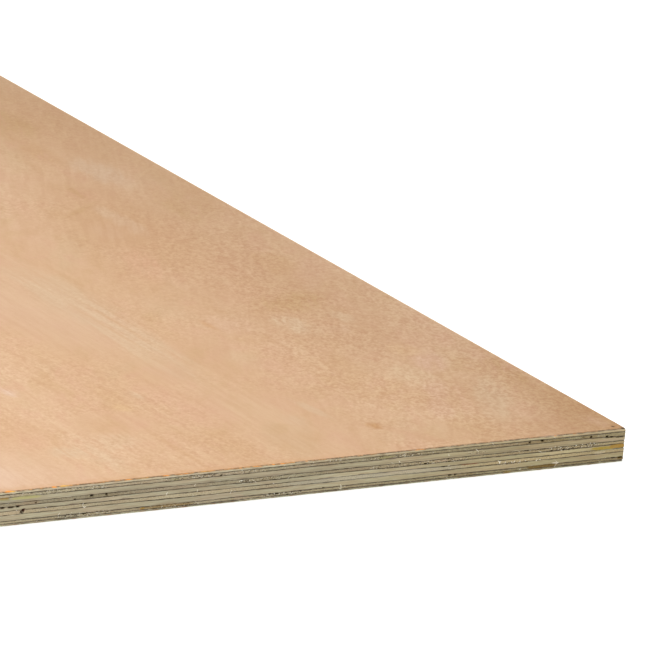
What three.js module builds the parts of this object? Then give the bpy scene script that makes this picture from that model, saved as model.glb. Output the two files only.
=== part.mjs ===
// A full sheet of hardwood-faced plywood, lying flat: eleven rotary-peeled veneers glued crosswise.
// Lengths are in millimetres. X runs across the sheet and Y along it, the way the face grain runs.
// Z is up from the underside, and the origin is the middle of the underside.
import * as THREE from "three";

// The sheet as it leaves the trimming saws.
const sheetWidth = 1220;
const sheetLength = 2440;

// Face and back are thin hardwood veneers, with their grain along the sheet.
const faceVeneerThickness = 0.3;
const backVeneerThickness = 0.3;

// Crossbands have their grain across the sheet. They are numbered from the face down.
const crossband1Thickness = 1.1;
const crossband2Thickness = 3.05;
const crossband3Thickness = 2.45;
const crossband4Thickness = 3.1;
const crossband5Thickness = 0.7;

// Long cores have their grain along the sheet. They are numbered from the face down.
const longCore1Thickness = 1.55;
const longCore2Thickness = 1.8;
const longCore3Thickness = 2.1;
const longCore4Thickness = 1.55;

// Two of the long cores are laid up from a narrow and a wide strip, side by side.
// A joint is placed at mid-thickness, from the +X edge. Its lean is how far its top stands
// towards +X of its foot, and its opening is how far the two strips stay apart.
const longCore2JointFromEdge = 351;
const longCore2JointLean = 0.4;
const longCore2JointOpening = 0.3;
const longCore3JointFromEdge = 358;
const longCore3JointLean = 1;
const longCore3JointOpening = 0.9;

const woods = {
  face: new THREE.MeshStandardMaterial({ color: "#d7b08e", roughness: 0.62, metalness: 0 }),
  crossband: new THREE.MeshStandardMaterial({ color: "#aea68a", roughness: 0.8, metalness: 0 }),
  longCore: new THREE.MeshStandardMaterial({ color: "#98876a", roughness: 0.9, metalness: 0 }),
  back: new THREE.MeshStandardMaterial({ color: "#bf9f80", roughness: 0.7, metalness: 0 }),
};

// The lay-up from the underside up. A layer with a joint is laid up from two strips.
const layUp = [
  { name: "back_veneer", wood: woods.back, thickness: backVeneerThickness },
  { name: "crossband_5", wood: woods.crossband, thickness: crossband5Thickness },
  { name: "long_core_4", wood: woods.longCore, thickness: longCore4Thickness },
  { name: "crossband_4", wood: woods.crossband, thickness: crossband4Thickness },
  {
    name: "long_core_3",
    wood: woods.longCore,
    thickness: longCore3Thickness,
    joint: { fromEdge: longCore3JointFromEdge, lean: longCore3JointLean, opening: longCore3JointOpening },
  },
  { name: "crossband_3", wood: woods.crossband, thickness: crossband3Thickness },
  {
    name: "long_core_2",
    wood: woods.longCore,
    thickness: longCore2Thickness,
    joint: { fromEdge: longCore2JointFromEdge, lean: longCore2JointLean, opening: longCore2JointOpening },
  },
  { name: "crossband_2", wood: woods.crossband, thickness: crossband2Thickness },
  { name: "long_core_1", wood: woods.longCore, thickness: longCore1Thickness },
  { name: "crossband_1", wood: woods.crossband, thickness: crossband1Thickness },
  { name: "face_veneer", wood: woods.face, thickness: faceVeneerThickness },
];

const leftEdge = -sheetWidth / 2;
const rightEdge = sheetWidth / 2;

// A veneer, or a strip of one, is its end section drawn in X and Z and run along the sheet.
function run(name, wood, bottom, top, left, right) {
  const section = new THREE.Shape();
  section.moveTo(left.foot, bottom);
  section.lineTo(right.foot, bottom);
  section.lineTo(right.head, top);
  section.lineTo(left.head, top);
  section.closePath();
  const geometry = new THREE.ExtrudeGeometry(section, { depth: sheetLength, bevelEnabled: false });
  geometry.rotateX(Math.PI / 2);
  const mesh = new THREE.Mesh(geometry, wood);
  mesh.name = name;
  mesh.position.y = sheetLength / 2;
  return mesh;
}

// One side of a strip: where it stands at its foot and at its head.
function side(foot, head = foot) {
  return { foot, head };
}

// The two strips of a jointed layer, each trimmed by half of the opening on its side of the joint.
function strips({ name, wood, joint }, bottom, top) {
  const centre = rightEdge - joint.fromEdge;
  const foot = centre - joint.lean / 2;
  const head = centre + joint.lean / 2;
  const trim = joint.opening / 2;
  const narrowSide = side(foot + trim, head + trim);
  const wideSide = side(foot - trim, head - trim);
  return [
    run(`${name}_narrow_strip`, wood, bottom, top, narrowSide, side(rightEdge)),
    run(`${name}_wide_strip`, wood, bottom, top, side(leftEdge), wideSide),
  ];
}

const group = new THREE.Group();
let bottom = 0;
for (const layer of layUp) {
  const top = bottom + layer.thickness;
  if (layer.joint) {
    group.add(...strips(layer, bottom, top));
  } else {
    group.add(run(layer.name, layer.wood, bottom, top, side(leftEdge), side(rightEdge)));
  }
  bottom = top;
}

export default group;
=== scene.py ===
# %% [markdown]
# # A full sheet of hardwood-faced plywood
# Plywood is a pack of thin veneers, peeled from a log and glued so that the grain of each one crosses
# the next. The pack is pressed flat and trimmed with a saw, so its four edges show every veneer.
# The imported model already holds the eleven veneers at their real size, as plain flat blocks. This
# lesson gives them what a saw, a glue press and a sander leave behind: wavy glue lines, open end grain,
# torn fibres, small voids, and a warm hardwood face.

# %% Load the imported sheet
import math
import random
from functools import cached_property, partialmethod

import bmesh
import bpy
import numpy as np
from mathutils import Matrix, Vector


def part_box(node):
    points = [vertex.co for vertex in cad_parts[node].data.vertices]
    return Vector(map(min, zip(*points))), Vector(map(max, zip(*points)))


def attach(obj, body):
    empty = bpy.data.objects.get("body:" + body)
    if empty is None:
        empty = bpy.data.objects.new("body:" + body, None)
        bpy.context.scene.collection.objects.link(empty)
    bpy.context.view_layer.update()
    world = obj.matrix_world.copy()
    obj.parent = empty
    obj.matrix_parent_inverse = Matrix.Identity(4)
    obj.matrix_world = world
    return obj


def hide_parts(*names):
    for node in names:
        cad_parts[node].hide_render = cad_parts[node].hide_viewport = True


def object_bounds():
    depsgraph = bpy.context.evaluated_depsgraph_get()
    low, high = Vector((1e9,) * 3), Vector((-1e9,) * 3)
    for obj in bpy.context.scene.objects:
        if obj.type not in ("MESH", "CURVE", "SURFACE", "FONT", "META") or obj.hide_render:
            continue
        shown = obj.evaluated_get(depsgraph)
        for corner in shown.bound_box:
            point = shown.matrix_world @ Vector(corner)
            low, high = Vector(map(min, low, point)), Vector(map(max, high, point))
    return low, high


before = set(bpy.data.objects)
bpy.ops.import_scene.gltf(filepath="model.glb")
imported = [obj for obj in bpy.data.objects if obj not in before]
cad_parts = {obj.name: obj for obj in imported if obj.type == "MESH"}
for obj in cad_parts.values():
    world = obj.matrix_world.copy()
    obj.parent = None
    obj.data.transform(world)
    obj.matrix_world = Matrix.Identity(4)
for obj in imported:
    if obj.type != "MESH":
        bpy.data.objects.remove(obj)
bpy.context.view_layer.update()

print("veneers and strips in the sheet:", len(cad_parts))

# %% [markdown]
# ## Measures
# Blender works in metres, and a joiner in millimetres, so every size below is a number times mm, or is
# turned into metres by the step that takes it. Marks on the cut end are measured from the sheet's near
# right corner, on top of the face: so far to the left along the end, and so deep under the face. Marks
# on the face are so far to the left of that corner, and so far in from the end.

# %% Measures of the sheet
mm = 0.001
hair = 0.02 * mm
sheet_low, sheet_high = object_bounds()
right_edge = sheet_high.x
near_end = sheet_low.y
face_top = sheet_high.z
near_corner = Vector((right_edge, near_end, face_top))
print("sheet in mm:", [round(side / mm, 1) for side in sheet_high - sheet_low])

# %% [markdown]
# ## Camera
# A long lens almost five metres away keeps the sheet's lines nearly parallel. The camera stands past the
# sheet's left side, looks down on the near right corner, and is rolled a little, so that the cut end
# climbs to the right. It is set by its stand, its heading, its tilt and its roll.

# %% Set up the camera
camera_stand = near_corner + Vector((-2523.18, -3679.82, 1408.18)) * mm
camera_heading = math.radians(32.359)
camera_tilt = math.radians(17.031)
camera_roll = math.radians(5.140)
lens_length = 501.5

turn_to_heading = Matrix.Rotation(-camera_heading, 3, "Z")
tip_down = Matrix.Rotation(math.radians(90) - camera_tilt, 3, "X")
roll_over = Matrix.Rotation(camera_roll, 3, "Z")
bpy.ops.object.camera_add(location=camera_stand)
camera = bpy.context.object
camera.name = "camera"
camera.rotation_euler = (turn_to_heading @ tip_down @ roll_over).to_euler()
camera.data.lens = lens_length
camera.data.sensor_width = 36
camera.data.clip_start = 0.1
camera.data.clip_end = 100
bpy.context.scene.camera = camera
print("camera to corner in mm:", round((camera_stand - near_corner).length / mm))

# %% [markdown]
# ## Light
# A product studio has a bright room and broad soft lamps. The world gives the room's even light. A sun
# with a wide angle stands in for the main lamp, because a sun lights a large sheet evenly from end to
# end. A square lamp hangs high over the sheet, and adds light to what faces up but hardly any to the
# sawn walls, which leaves them a shade deeper. All of them together bring an upward surface to a level
# at which its colour renders about as it is written. The world is a tree of nodes, as a finish is, and one
# tool adds a node to a tree and feeds its sockets.


# %% Add a node to a tree
def feed(tree, socket, value):
    """Links a node output to a socket, or sets the socket to a plain number or colour."""
    if isinstance(value, bpy.types.NodeSocket):
        tree.links.new(value, socket)
    elif isinstance(value, tuple) and len(value) == 3 and len(socket.default_value) == 4:
        socket.default_value = (*value, 1)
    else:
        socket.default_value = value


def add_node(tree, kind, inputs, **settings):
    """Adds a node with its settings, feeds its inputs, and returns its outputs."""
    node = tree.nodes.new("ShaderNode" + kind)
    for name, setting in settings.items():
        setattr(node, name, setting)
    for socket, value in inputs.items():
        feed(tree, node.inputs[socket], value)
    return node.outputs


def seen_directly(tree):
    """A node output that is 1 where the camera, a mirror or glass looks, and 0 for light itself."""
    path = add_node(tree, "LightPath", {})
    seen = path["Is Camera Ray"]
    for other in ("Is Glossy Ray", "Is Transmission Ray"):
        seen = add_node(tree, "Math", {0: seen, 1: path[other]}, operation="MAXIMUM")[0]
    return seen


# %% Set up the light
bpy.context.scene.view_settings.view_transform = "Standard"
room_level = 0.47
lamp_level = 1.26
lamp_spread = math.radians(50)
lamp_direction = (math.radians(60), math.radians(-14), math.radians(-12))
top_lamp_power = 61.8
top_lamp_width = 1.2
top_lamp_place = near_corner + Vector((-860, 720, 3600)) * mm

world = bpy.data.worlds.new("white_room")
world.use_nodes = True
bpy.context.scene.world = world
sky = world.node_tree
levels = {"Value": seen_directly(sky), "To Min": room_level, "To Max": 1}
sky_strength = add_node(sky, "MapRange", levels)["Result"]
feed(sky, sky.nodes["Background"].inputs["Color"], (1, 1, 1))
feed(sky, sky.nodes["Background"].inputs["Strength"], sky_strength)

bpy.ops.object.light_add(type="SUN", rotation=lamp_direction)
lamp = bpy.context.object
lamp.name = "broad_lamp"
lamp.data.energy = lamp_level
lamp.data.angle = lamp_spread

bpy.ops.object.light_add(type="AREA", location=top_lamp_place)
top_lamp = bpy.context.object
top_lamp.name = "top_lamp"
top_lamp.data.energy = top_lamp_power
top_lamp.data.size = top_lamp_width
print("lamps:", lamp.name, top_lamp.name)

# %% [markdown]
# ## Floor
# The floor is white paper: it keeps the sheet's soft shadow, and adds its own white only where the
# camera looks at it, so that it lights the sheet no more than paper would.

# %% Lay the floor
floor_width = 400
paper_white = 0.82
paper_glow = 0.55
bpy.ops.object.select_all(action="DESELECT")
bpy.ops.mesh.primitive_plane_add(size=floor_width, location=(0, 0, 0))
floor = bpy.context.object
floor.name = "floor"
paper = bpy.data.materials.new("white_paper")
paper.use_nodes = True
paper_tree = paper.node_tree
paper_tree.nodes.clear()
matt_white = add_node(paper_tree, "BsdfDiffuse", {"Color": (paper_white, paper_white, paper_white)})
seen_and_glow = {0: seen_directly(paper_tree), 1: paper_glow}
glow_strength = add_node(paper_tree, "Math", seen_and_glow, operation="MULTIPLY")
glow = add_node(paper_tree, "Emission", {"Strength": glow_strength[0]})
both = add_node(paper_tree, "AddShader", {0: matt_white[0], 1: glow[0]})
add_node(paper_tree, "OutputMaterial", {"Surface": both[0]})
floor.data.materials.append(paper)
print("floor laid, metres across:", floor_width)

# %% [markdown]
# ## Hand tools
# Every operator works on what is selected, so each step first puts everything down and then picks up
# the one piece that it needs. Vertices are found by their place, read into an array of x, y and z.


# %% Pick up a piece, and read its vertices
def pick_up(piece):
    """Makes this piece the only selected one, and the active one."""
    bpy.ops.object.select_all(action="DESELECT")
    piece.select_set(True)
    bpy.context.view_layer.objects.active = piece


def spots_of(piece):
    """Where each vertex of a piece lies: one row of x, y and z for each."""
    flat = np.empty(len(piece.data.vertices) * 3)
    piece.data.vertices.foreach_get("co", flat)
    return flat.reshape(-1, 3)


def select_edges(piece, wanted):
    """In edit mode, selects the edges whose two ends both pass a test of their place."""
    bpy.ops.mesh.select_all(action="DESELECT")
    edit = bmesh.from_edit_mesh(piece.data)
    for edge in edit.edges:
        if wanted(edge.verts[0].co) and wanted(edge.verts[1].co):
            edge.select_set(True)
    bmesh.update_edit_mesh(piece.data)


def triangles_in(piece):
    """How many triangles a piece has."""
    piece.data.calc_loop_triangles()
    return len(piece.data.loop_triangles)


# %% [markdown]
# ## The veneers
# Crossbands have their grain across the sheet, and the face, the back and the long cores have it along
# the sheet. Where a saw cuts across the grain the edge is open end grain, rough and dark. Where it cuts
# along the grain the edge is smooth and pale. So the same veneer has two smooth and two rough edges.
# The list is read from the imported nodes, sorted from the underside up. A veneer is trimmed a little
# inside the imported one, which leaves room for the fibres that stand out of a cut.

# %% List the veneers from the underside up
saw_allowance = 0.06 * mm


class Veneer:
    """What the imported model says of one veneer, or of one strip of a veneer."""

    def __init__(self, node):
        self.node = node
        self.low, self.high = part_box(node)
        self.thickness = self.high.z - self.low.z
        self.across = node.startswith("crossband")
        self.joint = "right" if "wide_strip" in node else "left" if "narrow_strip" in node else None
        corners = [corner.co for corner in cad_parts[node].data.vertices]
        at_foot = [corner.x for corner in corners if corner.z < self.low.z + hair]
        at_head = [corner.x for corner in corners if corner.z > self.high.z - hair]
        side = max if self.joint == "right" else min
        self.lean = side(at_head) - side(at_foot)
        left = min(at_foot) + (0 if self.joint == "left" else saw_allowance)
        right = max(at_foot) - (0 if self.joint == "right" else saw_allowance)
        self.limits = (left, right, self.low.y + saw_allowance, self.high.y - saw_allowance)


veneers = sorted((Veneer(node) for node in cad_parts), key=lambda veneer: veneer.low.z)
glue_heights = sorted({round(veneer.low.z, 6) for veneer in veneers if veneer.low.z > 0.1 * mm})
print("glue lines at mm:", [round(height / mm, 2) for height in glue_heights])

# %% [markdown]
# ## A veneer with sawn walls
# A real edge is not flat, so its walls need enough points to carry relief. The outline is drawn as a
# plane without its face, and its edges are subdivided, most finely at the near end. A second outline a
# little inside it has a hundredth of the points, and a bridge between the two keeps the large flat
# middle light. This foot is copied up to be the head, and the outline is extruded up in low rows, like
# courses of brick, until it meets the head. The face veneer's head also gets a few narrow rings, for
# the flakes that break out of its arris.

# %% Draw a divided outline
rim_width = 60 * mm
near_end_step = 0.61 * mm
other_step = 2.44 * mm
parts_to_one = 100


def divide(piece, wanted, parts):
    """Subdivides the edges whose two ends pass a test of their place, a hundred parts at a time."""
    select_edges(piece, wanted)
    if parts >= parts_to_one:
        bpy.ops.mesh.subdivide(number_cuts=parts_to_one - 1)
        parts //= parts_to_one
    if parts > 1:
        bpy.ops.mesh.subdivide(number_cuts=parts - 1)


def draw_outline(limits, height, parts):
    """A rectangle of edges, each side divided into its number of parts."""
    left, right, near, far = limits
    bpy.ops.object.select_all(action="DESELECT")
    bpy.ops.mesh.primitive_plane_add(size=1, location=((left + right) / 2, (near + far) / 2, height))
    outline = bpy.context.object
    outline.scale = (right - left, far - near, 1)
    bpy.ops.object.transform_apply(location=True, rotation=True, scale=True)
    bpy.ops.object.mode_set(mode="EDIT")
    bpy.ops.mesh.select_mode(type="EDGE")
    bpy.ops.mesh.select_all(action="SELECT")
    bpy.ops.mesh.delete(type="ONLY_FACE")
    divide(outline, lambda p: p.y < near + hair, parts["near"])
    divide(outline, lambda p: p.x > right - hair, parts["right"])
    divide(outline, lambda p: p.y > far - hair, parts["far"])
    divide(outline, lambda p: p.x < left + hair, parts["left"])
    bpy.ops.object.mode_set(mode="OBJECT")
    return outline


# %% Raise a veneer from its outline
row_height = 0.35 * mm
ring_insets = (3.6 * mm, 2.2 * mm, 1.3 * mm, 0.7 * mm, 0)


def drawn_in(limits, inset):
    """The limits of an outline that lies this far inside another."""
    left, right, near, far = limits
    return left + inset, right - inset, near + inset, far - inset


def lies_inside(p, limits, inset):
    """Whether a point lies more than this far inside an outline."""
    left, right, near, far = drawn_in(limits, inset)
    return left < p.x < right and near < p.y < far


def parts_of(veneer):
    """Into how many parts each side of a veneer's inner outline is divided."""
    left, right, near, far = veneer.limits
    width, length = right - left, far - near
    steps = {"near": width / near_end_step, "far": width / other_step}
    steps |= {"right": length / other_step, "left": length / other_step}
    parts = {side: max(1, round(along / parts_to_one)) for side, along in steps.items()}
    if veneer.joint:
        parts[veneer.joint] = 1
    return parts


def widen_outline(limits, inset, wider_inset):
    """Extrudes the selected outline, and scales its copy until it lies less far inside the limits."""
    left, right, near, far = drawn_in(limits, inset)
    wide_left, wide_right, wide_near, wide_far = drawn_in(limits, wider_inset)
    scale = ((wide_right - wide_left) / (right - left), (wide_far - wide_near) / (far - near), 1)
    bpy.ops.mesh.extrude_edges_move(TRANSFORM_OT_translate={"value": (0, 0, 0)})
    bpy.ops.transform.resize(value=scale, center_override=((left + right) / 2, (near + far) / 2, 0))


def raise_veneer(veneer):
    """A closed veneer whose sawn walls are made of many small faces."""
    limits = veneer.limits
    coarse = parts_of(veneer)
    fine = {side: parts * parts_to_one for side, parts in coarse.items()}
    rings = ring_insets if veneer.node == "face_veneer" else (0,)
    piece = draw_outline(drawn_in(limits, rings[0]), veneer.low.z, fine)
    inner = draw_outline(drawn_in(limits, rim_width), veneer.low.z, coarse)
    pick_up(piece)
    inner.select_set(True)
    bpy.ops.object.join()
    piece.name = piece.data.name = veneer.node + "_trimmed"
    bpy.ops.object.mode_set(mode="EDIT")
    bpy.ops.mesh.select_all(action="SELECT")
    bpy.ops.mesh.bridge_edge_loops()
    select_edges(piece, lambda p: lies_inside(p, limits, rim_width - hair))
    bpy.ops.mesh.edge_face_add()
    select_edges(piece, lambda p: not lies_inside(p, limits, rings[0] + hair))
    for inset, wider_inset in zip(rings, rings[1:]):
        widen_outline(limits, inset, wider_inset)
    bpy.ops.mesh.select_all(action="SELECT")
    bpy.ops.mesh.duplicate_move(TRANSFORM_OT_translate={"value": (0, 0, veneer.thickness)})
    rows = max(1, round(veneer.thickness / row_height))
    lift = (0, 0, veneer.thickness / rows)
    select_edges(piece, lambda p: p.z < veneer.low.z + hair and not lies_inside(p, limits, hair))
    for _ in range(rows):
        bpy.ops.mesh.extrude_edges_move(TRANSFORM_OT_translate={"value": lift})
    bpy.ops.mesh.select_all(action="SELECT")
    bpy.ops.mesh.remove_doubles(threshold=hair)
    bpy.ops.mesh.normals_make_consistent(inside=False)
    bpy.ops.object.mode_set(mode="OBJECT")
    return piece


pieces = {}
for veneer in veneers:
    pieces[veneer.node] = raise_veneer(veneer)
    print(veneer.node, "triangles:", triangles_in(pieces[veneer.node]))
face = pieces["face_veneer"]

# %% [markdown]
# ## A flat pattern for each veneer
# A finish can be baked into one square picture, through a map that says where each face lies in it.
# A map made by size alone gives the square to the broad sides, which the glue hides, and leaves less
# than a pixel for the height of a sawn wall. So the map is laid out part by part. The walls are unrolled
# into one long ribbon, and the ribbon is folded into rows. The broad sides get what is left: small boxes
# where they are hidden, and one large box for the face and for the underside. The face's narrow rings
# stay with its wall, because the arris has the finest marks. The map is made while the walls are still
# flat, and stays as it is when they are pressed.

# %% Unroll the walls into rows
map_edge = 0.02
row_fill = 0.8
large_box = (0.004, 0.004, 0.992, 0.68)
spare_box = (0.004, 0.70, 0.10, 0.04)
hidden_boxes = ((0.01, 0.01, 0.46, 0.19), (0.51, 0.01, 0.46, 0.19))
boxes_of_outer = {"face_veneer": (large_box, spare_box), "back_veneer": (spare_box, large_box)}
rows_and_their_foot = {"outer": (20, 0.75), "hidden": (48, 0.21)}


def lay_out_flat(piece, veneer):
    """Lays a veneer out on its map: its walls as a ribbon folded into rows, its broad sides in boxes."""
    mesh = piece.data
    left, right, near, far = veneer.limits
    width, length = right - left, far - near
    rows, rows_above = rows_and_their_foot["outer" if veneer.node in boxes_of_outer else "hidden"]
    vertex = np.empty(len(mesh.loops), int)
    mesh.loops.foreach_get("vertex_index", vertex)
    first, count = np.empty((2, len(mesh.polygons)), int)
    mesh.polygons.foreach_get("loop_start", first)
    mesh.polygons.foreach_get("loop_total", count)
    normals = np.empty(len(mesh.polygons) * 3)
    mesh.polygons.foreach_get("normal", normals)
    corners = spots_of(piece)[vertex]
    middles = np.add.reduceat(corners, first) / count[:, None]

    def from_sides(p):
        return np.stack([p[:, 1] - near, right - p[:, 0], far - p[:, 1], p[:, 0] - left], 1)

    ribbon_starts = np.array([0, width, width + length, 2 * width + length])

    def along_ribbon(p, side):
        return ribbon_starts[side] + from_sides(p)[np.arange(len(p)), (side - 1) % 4]

    ring_width = ring_insets[0] if veneer.node == "face_veneer" else 0
    row_length = 2 * (width + length) / rows
    side = from_sides(middles).argmin(1)
    row = np.clip(along_ribbon(middles, side) // row_length, 0, rows - 1)
    on_wall = np.abs(normals[2::3]) < 0.5
    in_ribbon = on_wall | (normals[2::3] > 0.5) & (from_sides(middles).min(1) < ring_width)
    side, row, on_wall, in_ribbon, facing_up = (
        np.repeat(of_face, count) for of_face in (side, row, on_wall, in_ribbon, normals[2::3] > 0)
    )
    inset = from_sides(corners)[np.arange(len(corners)), side]
    climbed = np.where(on_wall, corners[:, 2] - veneer.low.z, veneer.thickness + inset)
    climbed /= veneer.thickness + ring_width
    walked = (along_ribbon(corners, side) - row * row_length) / row_length
    row_pitch = (1 - rows_above) / rows
    in_row = np.stack([
        map_edge + walked * (1 - 2 * map_edge),
        rows_above + (row + (1 - row_fill) / 2 + row_fill * climbed) * row_pitch,
    ], 1)
    upper, lower = np.array(boxes_of_outer.get(veneer.node, hidden_boxes))
    box = np.where(facing_up[:, None], upper, lower)
    over = np.where(facing_up, right - corners[:, 0], corners[:, 0] - left) / width
    in_box = box[:, :2] + box[:, 2:] * np.stack([(corners[:, 1] - near) / length, over], 1)
    places = np.where(in_ribbon[:, None], in_row, in_box)
    layer = mesh.uv_layers.new(name="OFBake")
    layer.uv.foreach_set("vector", places.astype(np.float32).ravel())
    return row_length


for veneer in veneers:
    row_length = lay_out_flat(pieces[veneer.node], veneer)
    print(veneer.node, "mm of wall in a row:", round(row_length / mm))

# %% [markdown]
# ## Presses and rulers
# Relief is pressed into a wall by a Displace modifier: a vertex group says where, a direction says
# which way, a distance says how far, and a cloud texture says how unevenly. An empty serves as the
# texture's ruler. Its scale is the size of the pattern, so one cloud gives round pits with one ruler
# and long streaks with another. Each modifier is applied at once, as one stroke of work.

# %% Group vertices, and press them
weight_steps = 50


def group_of(piece, name, weights):
    """A vertex group from one weight for each vertex. Weights that round alike are added together."""
    group = piece.vertex_groups.new(name=name)
    steps = np.round(np.clip(weights, 0, 1) * weight_steps)
    for step in np.unique(steps[steps > 0]):
        group.add(np.flatnonzero(steps == step).tolist(), float(step / weight_steps), "REPLACE")
    return group


def press(piece, weights, direction, distance, cloud=None, ruler=None, level=0.0):
    """Moves the weighted vertices along X, Y or Z, by a distance times the cloud at their place."""
    if not np.any(weights > 0.5 / weight_steps):
        return
    stroke = piece.modifiers.new("press", "DISPLACE")
    stroke.vertex_group = group_of(piece, "pressed", weights).name
    stroke.direction = direction
    stroke.strength = distance
    stroke.mid_level = level
    if cloud:
        stroke.texture = cloud
        stroke.texture_coords = "OBJECT"
        stroke.texture_coords_object = ruler
    pick_up(piece)
    bpy.ops.object.modifier_apply(modifier=stroke.name)
    piece.vertex_groups.clear()


# %% Make the clouds and their rulers
def make_cloud(name, depth, contrast):
    """A cloud texture. More depth adds finer detail, and more contrast widens its range."""
    cloud = bpy.data.textures.new(name, "CLOUDS")
    cloud.noise_scale = 1
    cloud.noise_depth = depth
    cloud.contrast = contrast
    cloud.use_clamp = True
    return cloud


def make_ruler(name, size, place=(0, 0, 0)):
    """An empty whose scale is the size of a texture's pattern, given in mm."""
    bpy.ops.object.empty_add(location=place)
    ruler = bpy.context.object
    ruler.name = name
    ruler.scale = [side * mm for side in size]
    bpy.context.view_layer.update()
    return ruler


fuzz = make_cloud("fuzz", 2, 1.3)
patches = make_cloud("patches", 2, 3.0)
swell = make_cloud("swell", 3, 1.0)
pore_ruler = make_ruler("pore_ruler", (1.1, 1.1, 0.8))
streak_ruler = make_ruler("streak_ruler", (9, 9, 0.5))
patch_ruler = make_ruler("patch_ruler", (4, 4, 2.5))
print("presses ready")

# %% [markdown]
# ## Marks on the cut end
# No two stretches of a cut edge are alike. Where two sheets of a core veneer did not quite meet, or a
# splinter fell out under the saw, there is a small hollow, and the shade inside it is painted in dark.
# Heartwood, resin and glue that bled through leave coloured patches, and crumbs of glue leave speckles.
# One pale stain just under the face is a painted highlight along the arris. All are listed: millimetres
# to the left of the near right corner, millimetres under the face, half the length and half the height
# of the mark. Then come the depth of a hollow and the colour of its painted shade, the colour and the
# strength of a stain, or the strength of the speckles.

# %% List the hollows and the stains
gold = (0.375, 0.265, 0.055)
orange = (0.375, 0.22, 0.046)
rust = (0.36, 0.10, 0.03)
gap_red_in_shade = (0.12, 0.008, 0.001)
tawny = (0.29, 0.185, 0.06)
stone = (0.46, 0.43, 0.35)
olive = (0.30, 0.27, 0.10)
yellow_green = (0.47, 0.43, 0.17)
brown = (0.19, 0.12, 0.035)
umber = (0.22, 0.09, 0.03)
plum = (0.20, 0.15, 0.105)
teal = (0.33, 0.38, 0.28)
chalk = (0.74, 0.66, 0.50)
pink = (0.58, 0.40, 0.29)
# Painted shade for the hollows and the corner chip: near-black, and red-black in the gap between two strips
# of a core.
hollow_shade = (0.05, 0.026, 0.002)
deep_hollow_shade = (0.018, 0.009, 0.001)
gap_dark_red_in_shade = (0.05, 0.012, 0.002)

hollows = [
    (51.2, 1.85, 0.65, 0.28, 1.5, deep_hollow_shade),
    (58.9, 2.15, 0.36, 0.33, 1.2, hollow_shade),
    (26, 2, 1, 0.14, 0.5, hollow_shade),
    (21.2, 2.45, 0.45, 0.32, 1.2, hollow_shade),
    (11.2, 2.8, 0.65, 0.22, 2, hollow_shade),
    (8.5, 3, 0.65, 0.22, 2, hollow_shade),
    (4.6, 3.2, 0.5, 0.2, 1.5, hollow_shade),
    (2.2, 3.25, 0.7, 0.22, 2, hollow_shade),
    (244, 2.65, 0.5, 0.28, 1.4, hollow_shade),
    (318.9, 6.5, 0.6, 0.38, 1.6, deep_hollow_shade),
    (310.3, 6.7, 0.45, 0.34, 1.3, hollow_shade),
    (307.6, 6.15, 1.6, 0.12, 1, hollow_shade),
    (328.4, 7.45, 0.4, 0.2, 1.2, hollow_shade),
    (137.2, 6.25, 0.5, 0.2, 1, hollow_shade),
    (107.9, 6.25, 0.5, 0.2, 1, hollow_shade),
    (370.2, 8.15, 0.9, 0.28, 1.4, hollow_shade),
    (365.2, 8.2, 1.5, 0.25, 1.3, hollow_shade),
    (361.4, 8.1, 0.8, 0.35, 1.4, deep_hollow_shade),
    (351.2, 7.1, 0.25, 0.2, 0.3, hollow_shade),
    (357.9, 10.05, 0.65, 0.36, 1.5, gap_red_in_shade),
    (358.3, 10.7, 0.72, 0.45, 1.5, gap_red_in_shade),
    (358.9, 11.4, 0.68, 0.44, 1.5, gap_dark_red_in_shade),
    (231.6, 7.2, 0.5, 0.15, 0.8, hollow_shade),
    (121.8, 7.65, 0.6, 0.2, 1.4, hollow_shade),
    (107, 7.75, 0.5, 0.2, 1, hollow_shade),
    (44.9, 7.75, 0.55, 0.25, 1.2, hollow_shade),
    (37.4, 7.7, 0.6, 0.27, 1.3, hollow_shade),
    (34.2, 7.65, 0.3, 0.2, 1, hollow_shade),
    (31.6, 7.6, 0.2, 0.12, 0.4, hollow_shade),
    (28.6, 7.3, 0.2, 0.12, 0.4, hollow_shade),
    (110.6, 10.2, 1.2, 0.2, 1.8, hollow_shade),
    (323, 10.2, 0.8, 0.2, 0.6, hollow_shade),
    (182.4, 15.3, 0.5, 0.2, 0.6, hollow_shade),
    (322.8, 15.48, 0.9, 0.28, 1.3, hollow_shade),
    (210.5, 15.55, 1.2, 0.32, 2.2, hollow_shade),
    (214, 15.5, 0.65, 0.28, 1.2, hollow_shade),
    (203.6, 16.95, 0.6, 0.28, 1.2, hollow_shade),
    (106.2, 15.6, 0.7, 0.26, 1.3, hollow_shade),
    (103, 15.62, 0.55, 0.24, 1.4, deep_hollow_shade),
    (6.2, 15.5, 0.65, 0.28, 1.3, deep_hollow_shade),
    (1.8, 15.5, 1.1, 0.3, 1.3, hollow_shade),
]

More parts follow.
